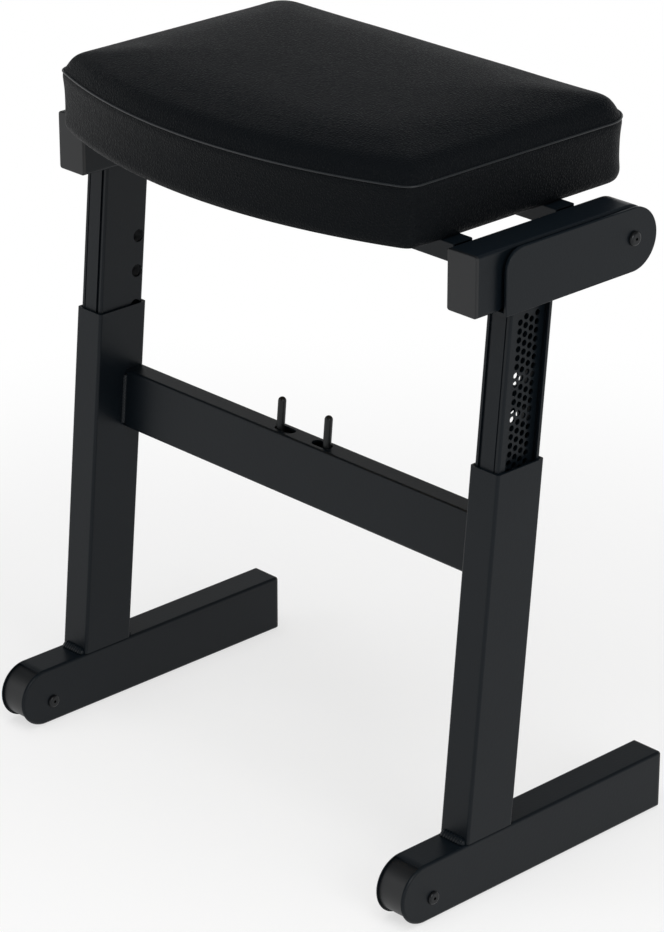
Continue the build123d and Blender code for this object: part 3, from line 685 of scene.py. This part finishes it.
def seen_directly(tree):
    """1 for rays that the camera sends out or that come to it by gloss or through glass, else 0."""
    path = put(tree, "ShaderNodeLightPath")
    shine = put(
        tree,
        "ShaderNodeMath",
        None,
        {0: path.outputs["Is Glossy Ray"], 1: path.outputs["Is Transmission Ray"]},
        operation="MAXIMUM",
    )
    seen = put(
        tree,
        "ShaderNodeMath",
        None,
        {0: path.outputs["Is Camera Ray"], 1: shine.outputs["Value"]},
        operation="MAXIMUM",
    )
    return seen.outputs["Value"]


def white_paper():
    """Paper that glows white to the camera, and lets its own lit colour through round the bench."""
    finish, tree, shader, place = new_finish("white studio paper")
    shader.inputs["Base Color"].default_value = linear("#fbfbfb")
    shader.inputs["Roughness"].default_value = 0.9
    away = put(tree, "ShaderNodeVectorMath", None, {0: place}, operation="LENGTH")
    glow = put(
        tree,
        "ShaderNodeMapRange",
        {
            "From Min": SHADOW_REACH[0],
            "From Max": SHADOW_REACH[1],
            "To Min": 1 - SHADOW_SHARE,
            "To Max": 1.0,
        },
        {"Value": away.outputs["Value"]},
        interpolation_type="SMOOTHSTEP",
    )
    share = put(
        tree,
        "ShaderNodeMath",
        None,
        {0: seen_directly(tree), 1: glow.outputs["Result"]},
        operation="MULTIPLY",
    )
    white = put(tree, "ShaderNodeEmission", {"Color": linear("#ffffff"), "Strength": 1.0})
    blend = put(
        tree,
        "ShaderNodeMixShader",
        None,
        {0: share.outputs["Value"], 1: shader.outputs["BSDF"], 2: white.outputs["Emission"]},
    )
    tree.links.new(blend.outputs["Shader"], tree.nodes["Material Output"].inputs["Surface"])
    return finish


def cove():
    """A disc whose rim curls up: radius and height follow a flat run, then a quarter turn, spun round Z,
    with its white side up and inwards."""
    bend = np.linspace(0, math.pi / 2, BEND_STEPS)
    radius = np.concatenate([COVE_RINGS, COVE_FLAT + COVE_BEND * np.sin(bend)])
    height = np.concatenate([np.zeros(len(COVE_RINGS)), COVE_BEND * (1 - np.cos(bend))]) - FLOOR_GAP
    turn = np.linspace(0, 2 * math.pi, COVE_SPOKES, endpoint=False)
    rings = np.stack(
        [
            radius[:, None] * np.cos(turn),
            radius[:, None] * np.sin(turn),
            np.broadcast_to(height[:, None], (len(radius), len(turn))),
        ],
        axis=-1,
    )
    sheet = sewn_grids("studio_cove", ((rings, True),))
    if sheet.data.polygons[0].normal.z < 0:
        sheet.data.flip_normals()
    sheet.data.materials.append(white_paper())
    return sheet


cove()
world = bpy.data.worlds.new("dim studio")
scene.world = world
world.use_nodes = True
sky = world.node_tree.nodes["Background"].inputs
sky["Color"].default_value = linear("#ffffff")
sky["Strength"].default_value = 0.22

# %% [markdown]
# ### Lamps
# Three big square lamps light the bench. The one overhead is kept out of reflections: the slope behind the
# seam would mirror it, and in the photograph that slope is the darkest part of the seat.


# %% Hang the lamps
def soft_lamp(name, place, aim, size, power):
    """A square lamp at a place, facing a point."""
    data = bpy.data.lights.new(name, "AREA")
    data.shape = "SQUARE"
    data.size = size
    data.energy = power
    lamp = bpy.data.objects.new(name, data)
    lamp.location = place
    lamp.rotation_euler = (Vector(aim) - Vector(place)).to_track_quat("-Z", "Y").to_euler()
    scene.collection.objects.link(lamp)
    return lamp


seat_height = (0, 0, 0.45)
overhead = soft_lamp("overhead sheet", (0.2, -0.3, 2.6), seat_height, 2.4, 46)
overhead.visible_glossy = False
soft_lamp("left sheet", (-1.6, -2.2, 1.5), seat_height, 1.4, 11)
soft_lamp("right sheet", (2.4, -0.6, 1.3), seat_height, 1.2, 22)

# %% [markdown]
# ## Camera
# The angle comes from the photograph: fitting the corners of the tubes puts the camera to the front right,
# about 46 degrees round and 24 degrees up, almost three metres away with a long lens.

# %% Camera
CAMERA_TURN = math.radians(46.371)
CAMERA_RISE = math.radians(23.561)
CAMERA_AWAY = 2.9802
CAMERA_AIM = Vector((-0.0134, 0.02325, 0.2581))
FOCAL_PIXELS = 3676
IMAGE_HEIGHT = 932
SENSOR = 36.0


def photo_camera():
    """A camera at an angle round, an angle up and a distance from its aim, with the lens for that many
    pixels."""
    data = bpy.data.cameras.new("photo_camera")
    data.sensor_width = SENSOR
    data.lens = FOCAL_PIXELS * SENSOR / IMAGE_HEIGHT
    back = Vector((
        math.sin(CAMERA_TURN) * math.cos(CAMERA_RISE),
        -math.cos(CAMERA_TURN) * math.cos(CAMERA_RISE),
        math.sin(CAMERA_RISE),
    ))
    camera = bpy.data.objects.new("photo_camera", data)
    camera.location = CAMERA_AIM + back * CAMERA_AWAY
    camera.rotation_euler = back.to_track_quat("Z", "Y").to_euler()
    scene.collection.objects.link(camera)
    return camera


scene.camera = photo_camera()
